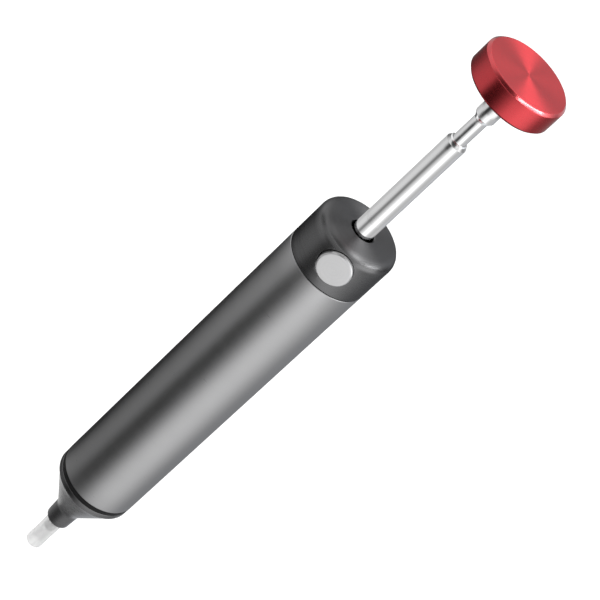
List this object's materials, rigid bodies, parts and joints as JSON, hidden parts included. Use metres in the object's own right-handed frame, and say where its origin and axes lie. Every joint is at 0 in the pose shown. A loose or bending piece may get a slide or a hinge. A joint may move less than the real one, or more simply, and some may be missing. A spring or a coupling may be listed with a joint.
{
  "type": "desoldering pump",
  "caption": "Hand-held suction pump for molten solder: grey metal barrel, dark cap with a side release button, bright plunger rod with a red disc knob, dark cone nose and a clear soft nozzle.",
  "frame": {"origin": "centre of the silicone nozzle's open end, on the barrel's axis", "axes": "+Z along the barrel from the nozzle to the plunger knob, -Y out through the release button, +X to the right when the button faces the viewer and the knob is up"},
  "size_m": [0.0204, 0.0208, 0.1804],
  "materials": {
    "grey_anodised": "satin anodised",
    "dark_anodised": "dark anodised",
    "red_anodised": "red anodised, turned face",
    "bright_rod": "plated and polished",
    "plain_aluminium": "turned",
    "latch_steel": "zinc plated",
    "spring_steel": "drawn wire",
    "bush_brass": "turned",
    "black_rubber": "moulded",
    "piston_plastic": "turned acetal",
    "clear_silicone": "translucent silicone"
  },
  "bodies": {
    "barrel": {"barrel_tube": "grey_anodised", "rear_cap": "dark_anodised", "rod_bush": "bush_brass", "bumper_ring": "black_rubber", "spring_seat": "latch_steel", "retaining_ring": "spring_steel", "main_spring": "spring_steel", "button_spring": "spring_steel"},
    "nose": {"nose_cone": "dark_anodised", "nose_o_ring": "black_rubber", "nose_gasket": "black_rubber", "nozzle_pipe": "latch_steel"},
    "tip": {"silicone_nozzle": "clear_silicone"},
    "follower": {"spring_follower": "piston_plastic"},
    "plunger": {"plunger_rod": "bright_rod", "plunger_knob": "red_anodised", "piston_head": "piston_plastic", "piston_o_ring": "black_rubber", "piston_washer": "latch_steel", "piston_nut": "latch_steel", "cleaning_pin": "spring_steel"},
    "button": {"release_button": "plain_aluminium", "latch_slide": "latch_steel"}
  },
  "joints": [
    {"name": "plunger_slide", "type": "slide", "parent": "barrel", "child": "follower", "axis": [0, 0, -1], "range_m": [0, 0.0455], "stiffness_N_per_m": 350, "springref_m": -0.03, "deforming": ["main_spring"]},
    {"name": "plunger_spin", "type": "hinge", "parent": "follower", "child": "plunger", "pos_m": [0, 0, 0.14], "axis": [0, 0, 1], "continuous": true},
    {"name": "button_press", "type": "slide", "parent": "barrel", "child": "button", "axis": [0, 1, 0], "range_m": [0, 0.0012], "stiffness_N_per_m": 2000, "springref_m": -0.001, "deforming": ["button_spring"]},
    {"name": "nose_pull_off", "type": "slide", "parent": "barrel", "child": "nose", "axis": [0, 0, -1], "range_m": [0, 0.012]},
    {"name": "tube_pull_off", "type": "slide", "parent": "nose", "child": "tip", "axis": [0, 0, -1], "range_m": [0, 0.008]}
  ]
}
